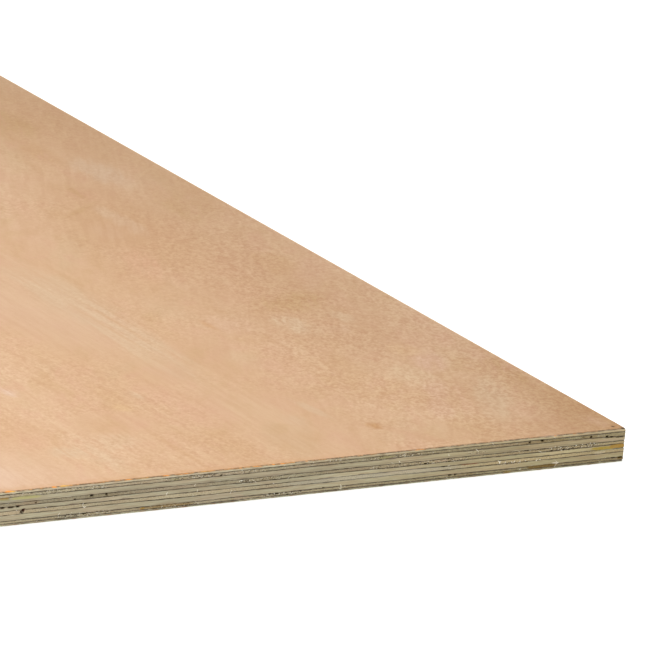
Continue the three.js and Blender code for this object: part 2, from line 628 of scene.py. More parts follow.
stains = [
    # The first stain is a painted highlight: a pale line along the end just under the face, where the arris
    # catches the light.
    (190, 0.2, 189, 0.36, chalk, 0.4),
    (190, 5.1, 189, 0.3, plum, 0.26),
    (250, 5.3, 48, 0.3, plum, 0.3),
    (85, 5, 60, 0.2, plum, 0.35),
    (160, 1, 38, 0.4, brown, 0.22),
    (14.6, 9.1, 5.2, 0.75, gold, 1),
    (12, 9.9, 4.8, 0.5, gold, 0.9),
    (4, 8.9, 4.6, 1, orange, 1),
    (9, 10.5, 7, 0.28, teal, 0.3),
    (8, 4.7, 9, 0.7, pink, 0.3),
    (369.8, 3.35, 2.6, 0.5, orange, 0.7),
    (369, 4.1, 2.4, 0.4, olive, 0.5),
    (357, 3.75, 7.4, 0.7, yellow_green, 0.8),
    (354, 6.9, 5, 0.6, rust, 0.15),
    (361, 7.5, 1.2, 0.25, rust, 0.5),
    (271, 2.3, 2.2, 0.5, olive, 0.3),
    (265, 2.3, 2.6, 0.5, orange, 0.15),
    (145.5, 2.3, 4, 0.5, olive, 0.5),
    (49.5, 2.35, 13, 0.5, brown, 0.35),
    (23, 2.1, 4.5, 0.45, brown, 0.3),
    (142.4, 2.95, 2.6, 0.36, plum, 0.95),
    (312, 6.9, 9, 0.7, brown, 0.22),
    (218.5, 6.9, 6.5, 0.6, brown, 0.25),
    (329.8, 9.95, 2.2, 0.36, plum, 0.9),
    (299.8, 9.95, 2.6, 0.36, plum, 1),
    (94.6, 10.4, 4.6, 0.3, rust, 0.35),
    (111.9, 7.1, 3.4, 0.5, pink, 0.25),
    (15, 11.6, 3, 0.5, chalk, 0.25),
    (275, 16.1, 13.5, 0.6, tawny, 0.65),
    (289, 16.1, 1.2, 0.45, orange, 1),
    (153, 11.3, 47, 1.1, stone, 0.4),
    (43.1, 14.8, 0.8, 0.35, chalk, 0.8),
    (41.8, 15.4, 0.9, 0.65, chalk, 1),
    (40.6, 14.8, 0.5, 0.3, chalk, 0.7),
    (49.7, 16, 8.5, 0.75, brown, 0.95),
    (248, 16.2, 9.5, 0.55, chalk, 0.12),
    (233.4, 14.6, 3, 0.5, pink, 0.3),
    (230.8, 16.3, 4.4, 0.55, pink, 0.25),
    (71.2, 17.3, 1.9, 0.35, gold, 0.7),
    (1.5, 15.9, 2, 0.6, brown, 0.8),
    (100, 16.3, 7, 0.6, brown, 0.25),
    (315, 15.9, 9, 0.6, brown, 0.15),
]

speckles = [
    (338, 1.5, 24, 0.35, 0.8),
    (332, 2.7, 20, 0.4, 0.8),
    (262, 2, 14, 0.8, 0.8),
    (230, 2.2, 12, 0.6, 0.5),
    (140, 2.2, 16, 0.7, 0.8),
    (322, 16, 14, 1, 0.9),
    (273, 16.3, 16, 0.9, 0.7),
    (207, 16.2, 11, 0.9, 0.9),
    (227, 7.3, 7, 0.8, 0.8),
    (217, 6.9, 8, 0.8, 0.7),
    (143, 7, 12, 0.8, 0.6),
    (113, 7.1, 14, 0.8, 0.8),
    (176, 1.2, 5, 0.4, 0.7),
    (38, 7.45, 9, 0.6, 1),
    (24, 6.8, 8, 0.6, 1),
    (68, 12.2, 9, 0.5, 0.9),
    (91, 4.3, 5, 0.7, 0.5),
    (52, 6.2, 30, 0.35, 0.5),
]
print("hollows:", len(hollows), "stains:", len(stains), "speckled fields:", len(speckles))

# %% Weigh the vertices near a mark
soft_edge, softer_edge, pressed_edge = 0.25, 0.45, 0.3
field_edge = 0.4
hollow_shade_cover = 1.6


def near_mark(spots, mark, reach):
    """For each vertex, 1 inside a mark on the cut end, falling to 0 just outside it."""
    left, deep, half_long, half_tall = mark
    along = (right_edge - spots[:, 0]) / mm - left
    down = (face_top - spots[:, 2]) / mm - deep
    away = (np.abs(along / half_long) ** 3 + np.abs(down / half_tall) ** 3) ** (1 / 3)
    on_end = spots[:, 1] < near_end + 1 * mm
    return np.clip((1 + reach - away) / reach, 0, 1) * on_end


def lay_over(colour, cover, tint, weight=1):
    """Lays a tint over the colours of the vertices, which are stored multiplied by how far they cover."""
    colour *= (1 - cover)[:, None]
    colour += cover[:, None] * np.array([*tint, weight])


def store_number(piece, name, values):
    """Stores one number for each vertex of a piece, under a name."""
    layer = piece.data.attributes.new(name, "FLOAT", "POINT")
    layer.data.foreach_set("value", values.astype(np.float32))


def paint_marks(piece):
    """Colours the stains on a veneer's cut end, paints shade into its hollows, and notes where it is
    speckled.
    """
    spots = spots_of(piece)
    colour = np.zeros((len(spots), 4))
    for *mark, tint, strength in stains:
        lay_over(colour, near_mark(spots, mark, soft_edge) * strength, tint)
    # Painted shade: each hollow is filled with a near-black tint for the shade inside it.
    for *mark, _, tint in hollows:
        lay_over(colour, near_mark(spots, mark, softer_edge), tint, hollow_shade_cover)
    layer = piece.data.color_attributes.new("stains_and_painted_light", "FLOAT_COLOR", "POINT")
    layer.data.foreach_set("color", colour.astype(np.float32).ravel())
    speckled = np.zeros(len(spots))
    for *mark, strength in speckles:
        speckled = np.maximum(speckled, near_mark(spots, mark, field_edge) * strength)
    store_number(piece, "speckled", speckled)


# %% [markdown]
# ## How far the glue is
# Glue darkens the wood that it soaks into, so each vertex notes how far off the nearest glue line is, and
# the finish reads it later. A line is named by its depth under the face. Where it is thinner than most, a
# little is added to the distance, and where it is thicker, a little is taken off. Each veneer is painted
# with the marks in the same round.

# %% Note how far the glue is, and paint the marks
far_from_glue = 9.0
thinner_by = {0.3: 0.32, 1.4: -0.03, 6.0: -0.02, 7.8: -0.03, 10.25: -0.04, 12.35: 0.02}
thinner_by |= {15.45: -0.07, 17.0: -0.02, 17.7: 0.03}


def depth_under_face(height):
    """How many millimetres a glue line lies under the face."""
    return round((face_top - height) / mm, 2)


def glue_lines_of(veneer):
    """The heights at which a veneer is glued: its foot and its head, but not the sheet's own."""
    return [edge for edge in (veneer.low.z, veneer.high.z) if sheet_low.z + hair < edge < face_top - hair]


def note_glue(piece, veneer):
    """Stores each vertex's distance to the nearest glue line, in mm. Thinner lines seem further off."""
    height = spots_of(piece)[:, 2]
    to_glue = np.full(len(height), far_from_glue)
    for glue in glue_lines_of(veneer):
        thinner = thinner_by.get(depth_under_face(glue), 0)
        to_glue = np.minimum(to_glue, np.abs(height - glue) / mm + thinner)
    store_number(piece, "to_glue", to_glue)


for veneer in veneers:
    note_glue(pieces[veneer.node], veneer)
    paint_marks(pieces[veneer.node])
print("marks painted")

# %% [markdown]
# ## Press the relief
# Each of the four walls is pressed inwards along its own axis. Walls across the grain get pits, walls
# along the grain get long shallow streaks. The courses next to a glue line go in further, in patches,
# which opens the line to a groove. Then the hollows are pressed in.

# %% Press the walls, the grooves and the hollows
pit_depth = 0.22 * mm
streak_depth = 0.10 * mm
groove_depth = 0.45 * mm


def walls_of(spots, veneer):
    """For each sawn wall: its vertices, its direction, the sign of inwards and whether it is end grain."""
    left, right, near, far = veneer.limits
    yield spots[:, 1] < near + hair, "Y", 1, not veneer.across
    yield spots[:, 1] > far - hair, "Y", -1, not veneer.across
    if veneer.joint != "right":
        yield spots[:, 0] > right - hair, "X", -1, veneer.across
    if veneer.joint != "left":
        yield spots[:, 0] < left + hair, "X", 1, veneer.across


for veneer in veneers:
    piece = pieces[veneer.node]
    spots = spots_of(piece)
    next_to_glue = np.zeros(len(spots), bool)
    for glue in glue_lines_of(veneer):
        next_to_glue |= np.abs(spots[:, 2] - glue) < hair
    for on_wall, direction, inwards, end_grain in walls_of(spots, veneer):
        depth, ruler = (pit_depth, pore_ruler) if end_grain else (streak_depth, streak_ruler)
        press(piece, on_wall * 1.0, direction, inwards * depth, fuzz, ruler)
        press(piece, on_wall * next_to_glue * 1.0, direction, inwards * groove_depth, patches, patch_ruler)
    for *mark, depth, _ in hollows:
        press(piece, near_mark(spots, mark, pressed_edge), "Y", depth * mm)
print("walls pressed")

# %% [markdown]
# ## Tip the joints, and let the glue lines wander
# Two cores are laid up from two strips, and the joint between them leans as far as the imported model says.
# No glue line is straight either: it swells and dips with the wood, sags here and there, and one dips at
# its corner. The veneers above and below share the line, so the same press moves both.

# %% Tip the joints, and press the glue lines up and down
wander = 0.7 * mm
share_of_thickness = 0.35
swell_size = 45
step_to_next_line = (1.7, 0.9, 0)
sag_places = np.arange(5) * 95
sags = {
    1.4: (0.2, 0.1, -0.06, 0.08, 0.0),
    2.95: (0.33, 0.3, 0.27, 0.24, 0.1),
    6.0: (0.5, 0.52, 0.22, -0.02, 0.12),
    7.8: (0.45, 0.42, 0.28, 0.0, 0.0),
    10.25: (0.32, 0.35, 0.16, -0.1, -0.12),
    12.35: (0.28, 0.24, 0.14, 0.0, -0.15),
    17.0: (0.05, -0.08, -0.12, -0.12, 0.0),
}
dipping_line = 2.95
corner_dip = 0.95 * mm
corner_dip_length = 27 * mm


def corner_distance(spots):
    """How far each vertex stands from the sheet's near right corner, seen from above."""
    return np.hypot(spots[:, 0] - right_edge, spots[:, 1] - near_end)


def closeness(distance, reach, most=1.0):
    """How close each vertex is: 1 close by, and 0 where the distance is this many times the reach."""
    return np.clip(most - distance / reach, 0, 1)


def sag_at(spots, glue):
    """How far a glue line sags at each vertex: differently along the end, and one dips at its corner."""
    depth = depth_under_face(glue)
    along = (right_edge - spots[:, 0]) / mm
    sag = np.interp(along, sag_places, sags.get(depth, (0,) * len(sag_places))) * mm
    if depth == dipping_line:
        sag += corner_dip * closeness(corner_distance(spots), corner_dip_length, 1.15)
    return sag


def rise_in(spots, veneer):
    """For each vertex, 0 at the veneer's foot and 1 at its head."""
    return (spots[:, 2] - veneer.low.z) / veneer.thickness


for veneer in veneers:
    if veneer.joint:
        spots = spots_of(pieces[veneer.node])
        left, right, near, far = veneer.limits
        on_joint = spots[:, 0] > right - hair if veneer.joint == "right" else spots[:, 0] < left + hair
        press(pieces[veneer.node], on_joint * rise_in(spots, veneer), "X", veneer.lean)

for line, glue in enumerate(glue_heights):
    above = [veneer for veneer in veneers if abs(veneer.low.z - glue) < hair]
    below = [veneer for veneer in veneers if abs(veneer.high.z - glue) < hair]
    thinnest = min(veneer.thickness for veneer in above + below)
    other_place = [line * step for step in step_to_next_line]
    swell_ruler = make_ruler("swell_ruler", (swell_size,) * 3, other_place)
    for veneer in above + below:
        piece = pieces[veneer.node]
        spots = spots_of(piece)
        rise = np.clip(rise_in(spots, veneer), 0, 1)
        weights = 1 - rise if veneer in above else rise
        press(piece, weights, "Z", min(wander, share_of_thickness * thinnest), swell, swell_ruler, 0.5)
        sag = sag_at(spots, glue)
        if np.any(sag > 0):
            press(piece, weights * sag / sag.max(), "Z", -sag.max())
    bpy.data.objects.remove(swell_ruler)
print("glue lines wander")

# %% [markdown]
# ## The face veneer's arris
# The face veneer is so thin that the saw breaks small flakes out of its arris. A cloud breaks them out
# here and there, and the sheet's corner loses a chip. The back's corner is rubbed round, because a sheet
# is stood and dragged on it.

# %% Chip the arris and the corners
flake_depth = 0.27 * mm
flake_reach = 0.9 * mm
chip_size = 1.3 * mm
chip_depth = 0.28 * mm
rub_size = 1.6 * mm
rub_height = 1.1 * mm
rub_depth = 0.4 * mm
flake_ruler = make_ruler("flake_ruler", (3.2, 1.2, 3))

spots = spots_of(face)
on_head = spots[:, 2] > face_top - hair
from_end = spots[:, 1] - near_end - saw_allowance
from_corner = corner_distance(spots)
flaked = on_head * closeness(from_end, flake_reach) * (from_corner > 2 * chip_size)
press(face, flaked, "Z", -flake_depth, patches, flake_ruler)
press(face, on_head * closeness(from_corner, chip_size, 1.4), "Z", -chip_depth)
for node in ("back_veneer", "crossband_5"):
    spots = spots_of(pieces[node])
    rubbed = closeness(corner_distance(spots), rub_size, 1.2) * closeness(spots[:, 2], rub_height)
    press(pieces[node], rubbed, "X", -rub_depth)
for ruler in (pore_ruler, streak_ruler, patch_ruler, flake_ruler):
    bpy.data.objects.remove(ruler)
print("arris chipped")

# %% [markdown]
# ## Fresh wood along the arris
# The torn wood is fresh and orange beside the sanded face, so it is painted on as flecks. A fleck is so
# far to the left, half so long, and reaches so far in, all in millimetres. Then come its colour and its
# strength. The last one is painted shade in the chip at the corner.

# %% Paint the fresh wood along the arris
flame = (0.95, 0.36, 0.07)
amber = (0.90, 0.52, 0.12)
full_width, fleck_end, fleck_edge = 0.25, 1.3, 0.5

flecks = [
    (287, 44, 0.6, umber, 0.36),
    (366.5, 2.2, 1.8, flame, 0.95),
    (364.8, 1.2, 0.7, amber, 0.9),
    (361.2, 1.3, 0.5, umber, 0.9),
    (341, 1.3, 1.3, flame, 0.95),
    (335.3, 2.3, 1.4, amber, 0.9),
    (328.6, 1.2, 0.6, umber, 0.8),
    (315.5, 3, 0.4, flame, 0.4),
    (298.5, 2, 0.6, flame, 0.85),
    (289.5, 4, 0.5, amber, 0.35),
    (276.3, 1.8, 0.9, flame, 0.85),
    (266, 4.5, 0.5, flame, 0.45),
    (264.5, 1.2, 0.6, flame, 0.8),
    (253.8, 3.2, 0.5, amber, 0.35),
    (238, 5.2, 0.5, flame, 0.4),
    (222.5, 2.5, 0.5, flame, 0.8),
    (211, 5.7, 0.5, flame, 0.35),
    (213.3, 0.7, 1.2, flame, 0.9),
    (207.8, 1.4, 0.9, flame, 0.85),
    (197, 2.6, 0.4, chalk, 0.7),
    (132, 0.7, 0.5, umber, 0.8),
    (125.5, 3, 0.5, flame, 0.7),
    (46.5, 6, 0.8, pink, 0.5),
    (43.5, 0.7, 0.4, flame, 0.8),
    (31.8, 0.7, 0.4, flame, 0.8),
    (0.8, 1.5, 1.6, hollow_shade, 0.95),
]

spots = spots_of(face)
along = (right_edge - spots[:, 0]) / mm
inwards = (spots[:, 1] - near_end) / mm
colour = np.zeros((len(spots), 4))
for left, half_long, reach, tint, strength in flecks:
    away = np.hypot((along - left) / half_long, np.maximum(inwards - full_width, 0) / reach)
    lay_over(colour, np.clip((fleck_end - away) / fleck_edge, 0, 1) * strength, tint)
face.data.color_attributes["stains_and_painted_light"].data.foreach_set("color", colour.astype(np.float32).ravel())
print("flecks along the arris:", len(flecks))

# %% [markdown]
# ## Torn fibres
# Where the saw's teeth lift the grain, pale fibres stay hanging on the cut. One fibre is modelled: a
# thin six-sided rod, tapered to both ends and bent.

# %% Model one fibre
fibre_steps = 7
fibre_bow = 1.4
tip_taper = 0.36


def model_fibre():
    """A bent fibre a metre long and thick, tapered to its ends, lying along X round the origin."""
    bpy.ops.object.select_all(action="DESELECT")
    bpy.ops.mesh.primitive_cylinder_add(vertices=6, radius=0.5, depth=1, rotation=(0, math.pi / 2, 0))
    fibre = bpy.context.object
    bpy.ops.object.transform_apply(location=True, rotation=True, scale=True)
    bpy.ops.object.mode_set(mode="EDIT")
    edit = bmesh.from_edit_mesh(fibre.data)
    for edge in edit.edges:
        edge.select_set(abs(edge.verts[0].co.x - edge.verts[1].co.x) > 0.5)
    bmesh.update_edit_mesh(fibre.data)
    bpy.ops.mesh.subdivide(number_cuts=fibre_steps)
    bpy.ops.object.mode_set(mode="OBJECT")
    spots = spots_of(fibre)
    taper = np.abs(spots[:, 0] * 2) ** 3
    for axis, direction in ((1, "Y"), (2, "Z")):
        press(fibre, taper * (spots[:, axis] > 0.1), direction, -tip_taper)
        press(fibre, taper * (spots[:, axis] < -0.1), direction, tip_taper)
    press(fibre, 1 - (spots[:, 0] * 2) ** 2, "Z", fibre_bow)
    return fibre


fibre = model_fibre()
print("triangles in a fibre:", triangles_in(fibre))

# %% [markdown]
# ## Hang the fibres
# Each fibre is a copy with a mesh of its own, sized and turned by place. Some are listed: so far to the
# left, so deep, their length and thickness in millimetres, and their turn in degrees. Many fine ones are
# scattered by seeded chance along the glue lines of the near end and of the right side. In the end they
# are joined into one piece.

# %% Hang the fibres on the cut
placed_fibres = [
    (274.6, 9.8, 3.4, 0.55, 58),
    (257.9, 9.6, 2.4, 0.5, -78),
    (258.6, 6.8, 1.6, 0.4, 60),
    (232, 7.2, 3, 0.35, 12),
    (91, 4.3, 3.2, 0.45, -48),
    (108.5, 4.9, 1.8, 0.4, -60),
    (138.2, 5.8, 2.2, 0.45, -50),
    (77.3, 11.6, 2.6, 0.55, -66),
    (75.8, 11.7, 2.2, 0.45, 55),
    (72.6, 12.1, 1.6, 0.36, 60),
    (69.5, 12.2, 1.4, 0.36, -50),
    (67, 12.1, 1.5, 0.36, 40),
    (63.6, 12.2, 1.2, 0.34, 60),
    (60.8, 12.2, 1.3, 0.34, -40),
    (53.4, 12.7, 2.2, 0.42, 50),
    (51.9, 12.6, 1.4, 0.36, -30),
    (42.2, 14.9, 4.2, 0.75, -40),
    (40.4, 15.4, 1.8, 0.5, 20),
    (323.6, 12.4, 2.2, 0.42, -60),
    (322, 12.4, 2, 0.42, 62),
    (336.8, 14.6, 2.5, 0.4, 50),
    (329.6, 14.4, 1, 0.38, 75),
    (171.2, 15.9, 3.8, 0.5, 86),
    (172.6, 15, 2.4, 0.42, -60),
    (171, 16.9, 1.6, 0.6, 80),
    (313, 2.9, 1.8, 0.34, 10),
    (277, 16.6, 1.6, 0.4, 60),
    (270, 16.9, 1.4, 0.4, -40),
    (231, 7.1, 1.4, 0.42, 70),
    (208, 16.4, 1.4, 0.4, 50),
    (200.5, 16.6, 1.6, 0.4, 30),
    (211.8, 15.9, 1.2, 0.38, -60),
    (179.2, 1.2, 1.3, 0.42, 80),
    (175.8, 1.2, 1.3, 0.4, 60),
    (29.8, 6.9, 1.3, 0.36, 40),
    (26.6, 6.6, 1.2, 0.36, -40),
    (21, 6.4, 1.4, 0.38, 50),
    (19.4, 6.6, 1.2, 0.36, -60),
    (35.4, 7.2, 1.1, 0.36, 70),
    (39.2, 7.3, 1.2, 0.36, 30),
    (45.6, 7.2, 1.3, 0.38, -70),
]
chance = random.Random(18)
glue_scatter = 0.35
clear_of_edges = 0.4 * mm
bow_range = (0.1, 0.6)
end_clearance, side_clearance = 3 * mm, 5 * mm
fine_on_end = {"number": 190, "lengths": (0.8, 2.6), "unevenness": 0.5, "thicknesses": (0.1, 0.2)}
fine_on_side = {"number": 130, "lengths": (1, 4), "unevenness": 0.4, "thicknesses": (0.12, 0.22)}


def level_of(length, turn):
    """A height near one of the glue lines, at which a fibre keeps clear of the face and the underside."""
    clear = length * abs(math.sin(turn)) / 2 + clear_of_edges
    height = chance.choice(glue_heights) + chance.gauss(0, glue_scatter) * mm
    return min(max(height, sheet_low.z + clear), face_top - clear)


def hang_fibre(place, length, thickness, turn, on_side=False):
    """A copy of the fibre on the cut, turned in its plane. It bows out as far as the sheet's own limit."""
    copy = fibre.copy()
    copy.data = fibre.data.copy()
    bpy.context.collection.objects.link(copy)
    bow_out = chance.uniform(*bow_range)
    inset = thickness * (0.5 + fibre_bow * math.sin(bow_out)) + hair
    size = Matrix.Diagonal((length, thickness, thickness, 1))
    turned = Matrix.Rotation(turn, 4, "Y")
    set_in = Matrix.Translation((0, inset, 0)) @ turned @ size @ Matrix.Rotation(bow_out, 4, "X")
    faced = Matrix.Rotation(math.pi / 2 if on_side else 0, 4, "Z")
    copy.data.transform(Matrix.Translation(place) @ faced @ set_in)
    return copy


def scatter(start, end, number, lengths, unevenness, thicknesses, on_side=False):
    """Fine fibres by chance along a wall, from start to end, with their sizes in mm."""
    for _ in range(number):
        along = chance.uniform(start, end)
        length = chance.uniform(*lengths) * mm
        turn = chance.gauss(0, unevenness)
        height = level_of(length, turn)
        place = Vector((right_edge, along, height) if on_side else (along, near_end, height))
        yield hang_fibre(place, length, chance.uniform(*thicknesses) * mm, turn, on_side)


fibres = []
for left, deep, length, thickness, turn in placed_fibres:
    place = near_corner + Vector((-left, 0, -deep)) * mm
    fibres.append(hang_fibre(place, length * mm, thickness * mm, -math.radians(turn)))
fibres += scatter(sheet_low.x + end_clearance, right_edge - end_clearance, **fine_on_end)
side_start, side_end = near_end + side_clearance, sheet_high.y - side_clearance
fibres += scatter(side_start, side_end, on_side=True, **fine_on_side)
bpy.data.objects.remove(fibre)
pick_up(fibres[0])
for copy in fibres:
    copy.select_set(True)
bpy.ops.object.join()
torn_fibres = bpy.context.object
torn_fibres.name = torn_fibres.data.name = "torn_fibres"
print("fibres:", len(fibres), "triangles:", triangles_in(torn_fibres))

# %% [markdown]
# ## Finishes
# Wood is one pattern in the solid, long along the grain and fine across it. Cut along the grain it
# shows as streaks, and cut across the grain the same pattern shows as specks, so one recipe serves all
# the walls of a veneer. The patterns read Object coordinates. A Mapping node of the Texture kind works
# as a ruler: its scale is the size of the patches, which is given in millimetres. A Mix node has sockets
# of one name for numbers and for colours alike, so the ones for colours are picked by their number.

# %% A helper for recipes
FIRST, SECOND, MIXED = 6, 7, 2
even_shares = (0.52, 0.88, 1.04)


class Recipe:
    """A finish in the making: its nodes, its colour so far, and the place its patterns are laid out by."""

    def __init__(self, name, colour, roughness, shine=0.25):
        self.colour = colour
        self.material = bpy.data.materials.new(name)
        self.material.use_nodes = True
        self.tree = self.material.node_tree
        self.shader = self.tree.nodes["Principled BSDF"].inputs
        self.shader["Roughness"].default_value = roughness
        self.shader["Specular IOR Level"].default_value = shine
        self.where = self.add("TexCoord", {})

    def add(self, kind, inputs, **settings):
        """Adds a node to this finish, and returns its outputs."""
        return add_node(self.tree, kind, inputs, **settings)

    def ruled(self, size, place=(0, 0, 0), turn=(0, 0, 0)):
        """Object coordinates, counted in steps of this size from this place, turned by this much."""
        ruler = {"Location": place, "Rotation": turn, "Scale": [side * mm for side in size]}
        return self.add("Mapping", {"Vector": self.where["Object"], **ruler}, vector_type="TEXTURE")[0]

    def cloud(self, size, seed=0.0, detail=2.0, turn=(0, 0, 0), warp=0.0):
        """A cloudy pattern between 0 and 1, with patches of this size along X, Y and Z."""
        noise = {"Vector": self.ruled(size, turn=turn), "Scale": 1, "W": seed}
        noise |= {"Detail": detail, "Distortion": warp}
        return self.add("TexNoise", noise, noise_dimensions="4D")["Fac"]

    def between(self, value, low, high, start=0.0, end=1.0):
        """Start where the value is at low, end where it is at high, and a smooth step between."""
        step = {"Value": value, "From Min": low, "From Max": high, "To Min": start, "To Max": end}
        return self.add("MapRange", step, interpolation_type="SMOOTHSTEP")["Result"]

    def reckon(self, operation, first, second=0.0):
        """Two numbers added, multiplied or compared."""
        return self.add("Math", {0: first, 1: second}, operation=operation)[0]

    times = partialmethod(reckon, "MULTIPLY")
    plus = partialmethod(reckon, "ADD")
    minus = partialmethod(reckon, "SUBTRACT")

    def blend(self, amount, first, second, way="MIX"):
        """The second colour laid over the first by an amount."""
        colours = {"Factor": amount, FIRST: first, SECOND: second}
        return self.add("Mix", colours, data_type="RGBA", blend_type=way)[MIXED]

    def grey(self, value):
        """A number as a grey colour."""
        return self.add("CombineColor", {"Red": value, "Green": value, "Blue": value})[0]

    def stored(self, name, output="Fac"):
        """A value or colour that the piece's vertices carry."""
        return self.add("Attribute", {}, attribute_name=name)[output]

    @cached_property
    def place(self):
        """Where the point lies, as X, Y and Z."""
        return self.add("SeparateXYZ", {0: self.where["Object"]})

    def leftwards(self, start, end, first=0.0, last=1.0):
        """Steps from first to last, between two distances in mm left of the sheet's right edge."""
        low, high = right_edge - start * mm, right_edge - end * mm
        return self.between(self.place["X"], low, high, first, last)

    def inwards(self, start, end, first=0.0, last=1.0):
        """Steps from first to last, between two distances in mm in from the near end."""
        return self.between(self.place["Y"], near_end + start * mm, near_end + end * mm, first, last)

    def facing(self, axis, none=0.6, full=0.8):
        """1 where the surface faces along this axis, 0 where it faces across it."""
        normal = self.add("SeparateXYZ", {0: self.where["Normal"]})
        return self.between(self.reckon("ABSOLUTE", normal[axis]), none, full)

    def tinted(self, colour, tint):
        """One colour multiplied by another."""
        return self.blend(1.0, colour, tint, "MULTIPLY")

    def lay(self, tint, share):
        """Lays a tint over the colour so far, by a share."""
        self.colour = self.blend(share, self.colour, tint)

    def dim(self, value):
        """Multiplies the colour so far by a number."""
        self.colour = self.tinted(self.colour, self.grey(value))

    def mottle(self, pattern, depth, low=0.25, high=0.75):
        """Shades the colour so far by a pattern, most in blue, so that no part of it turns redder."""
        dark = tuple(1 - share * depth for share in even_shares)
        light = tuple(1 + share * depth for share in even_shares)
        self.colour = self.tinted(self.colour, self.blend(self.between(pattern, low, high), dark, light))

    def fade(self, amount, first, second):
        """The first number where the amount is 0, the second where it is 1."""
        return self.plus(first, self.times(self.minus(second, first), amount))

    def finish(self, bump, bump_height):
        """Colours the shader, and roughens it with a bump of this height."""
        normal = self.add("Bump", {"Distance": bump_height, "Height": bump})["Normal"]
        feed(self.tree, self.shader["Base Color"], self.colour)
        feed(self.tree, self.shader["Normal"], normal)
        return self.material

    def stains_and_painted_light(self):
        """Lays the stains and the painted shade and highlight stored on the vertices over the colour so
        far. Their edges are ragged.
        """
        ragged = self.between(self.cloud((1.4, 1.4, 0.45), 77.0, 3), 0.32, 0.52, 0.68, 1.0)
        covered = self.reckon("MINIMUM", self.times(self.stored("stains_and_painted_light", "Alpha"), ragged), 1.0)
        self.dim(self.minus(1.0, covered))
        cover = self.tinted(self.stored("stains_and_painted_light", "Color"), self.grey(ragged))
        self.colour = self.blend(1.0, self.colour, cover, "ADD")


# %% [markdown]
# ### Core wood
# Crossbands and long cores are the same pale peeled wood. What differs is which way the grain runs, and
# a little in tone from one log to the next. Glue lines are dark and broken, and the wood beside them is
# speckled, because the glue soaks in.

# %% Write the recipe for core wood
glue_brown = (0.105, 0.085, 0.058)
speck_brown = (0.13, 0.105, 0.07)
speck_pale = (0.60, 0.55, 0.44)
greenish = (0.39, 0.40, 0.28)
pinkish = (0.50, 0.38, 0.28)
yellower_tint = (1.0, 0.955, 0.81)
dot_dark = (0.07, 0.05, 0.03)
chip_pale = (0.80, 0.74, 0.60)
shaded_length = 380
line_widths = (0.13, 0.42)
core_bump = 0.12 * mm


def along_grain(grain, length, width, height):
    """A pattern's size, long along X or along Y as the grain runs."""
    return (length, width, height) if grain == "X" else (width, length, height)


def core_wood(name, grain, smooth, rough, darker_right, seed):
    """Peeled core wood: one tone where it is cut along the grain, another for its end grain."""
    wood = Recipe(name, smooth, 0.85, 0.1)
    streaks = wood.cloud(along_grain(grain, 11, 0.8, 0.42), seed, 2)
    slant = wood.cloud((16, 16, 0.9), seed + 3, 2, (math.radians(6), math.radians(-6), 0))
    broad = wood.cloud((45, 45, 9), seed + 7, 2)
    tint = wood.cloud((28, 28, 4), seed + 11, 1)
    specks = wood.cloud(along_grain(grain, 5, 0.62, 0.55), seed + 17, 1)
    crumbs = wood.cloud(along_grain(grain, 4, 0.8, 0.5), seed + 23, 1)
    dots = wood.cloud((0.75, 0.75, 0.5), seed + 41, 0)
    chips = wood.cloud((0.85, 0.85, 0.55), seed + 43, 0)
    end_grain = wood.facing(grain)
    wood.lay(rough, end_grain)
    wood.lay(greenish, wood.between(tint, 0.35, 0.68, 0.0, 0.22))
    wood.lay(pinkish, wood.between(tint, 0.52, 0.3, 0.0, 0.22))
    wood.dim(wood.between(broad, 0.25, 0.75, 0.88, 1.12))
    wood.mottle(streaks, 0.17)
    wood.mottle(slant, 0.07, 0.3, 0.7)
    # Partly painted shade: the end darkens toward the right corner as the studio light falls off there. The
    # rest of the darkening is the veneer's own tone.
    wood.dim(wood.leftwards(shaded_length, 0, 1 + darker_right, 1 - darker_right))
    # Toward the right the end also turns yellower, along with its darkening there.
    yellower_right = wood.leftwards(240, 20)
    wood.lay(wood.tinted(wood.colour, yellower_tint), yellower_right)
    to_glue = wood.stored("to_glue")
    near_glue = wood.between(to_glue, 0.85, 0.15)
    speck_share = wood.reckon("MAXIMUM", wood.times(end_grain, 0.75), near_glue)
    dark = wood.times(wood.between(specks, 0.44, 0.32), speck_share)
    pale = wood.times(wood.between(crumbs, 0.58, 0.70), speck_share)
    wood.lay(speck_brown, wood.times(dark, 0.6))
    wood.lay(speck_pale, wood.times(pale, 0.42))
    breaks = wood.cloud((24, 24, 2.4), seed + 31, 3)
    nibbles = wood.cloud((2.4, 2.4, 0.6), seed + 37, 2)
    width = wood.between(breaks, 0.3, 0.68, *line_widths)
    width = wood.plus(width, wood.leftwards(shaded_length, 0, 0, 0.05))
    line = wood.between(wood.reckon("DIVIDE", to_glue, width), 1.0, 0.45)
    line = wood.times(line, wood.between(nibbles, 0.32, 0.55, 0.55, 1.0))
    wood.lay(glue_brown, wood.times(line, 0.95))
    speckled = wood.stored("speckled")
    wood.lay(dot_dark, wood.times(wood.between(dots, 0.46, 0.34), speckled))
    wood.lay(chip_pale, wood.times(wood.between(chips, 0.61, 0.75, 0.0, 0.8), speckled))
    height = wood.minus(streaks, wood.times(dark, 0.8))
    wood.stains_and_painted_light()
    return wood.finish(height, core_bump)


# %% [markdown]
# ### A tone for each veneer
# Every veneer comes from another part of a log. The list has the tone of each one, and how much it
# darkens towards the right. That darkening is partly the veneer's own tone and partly painted shade,
# where the studio light falls off toward the sheet's right corner.

# %% Dress the core veneers
crossband_tones = ((0.470, 0.398, 0.262), (0.370, 0.305, 0.190))
long_core_tones = ((0.455, 0.385, 0.250), (0.385, 0.312, 0.195))
log_step = 5.3
tones = {
    "crossband_1": (1.125, 0.07),
    "crossband_2": (0.89, 0.08),
    "crossband_3": (0.96, 0.02),
    "crossband_4": (0.90, 0.06),
    "crossband_5": (1.09, 0.21),
    "long_core_1": (0.92, 0.18),
    "long_core_2": (0.91, -0.06),
    "long_core_3": (1.205, 0.05),
    "long_core_4": (0.98, 0.185),
}

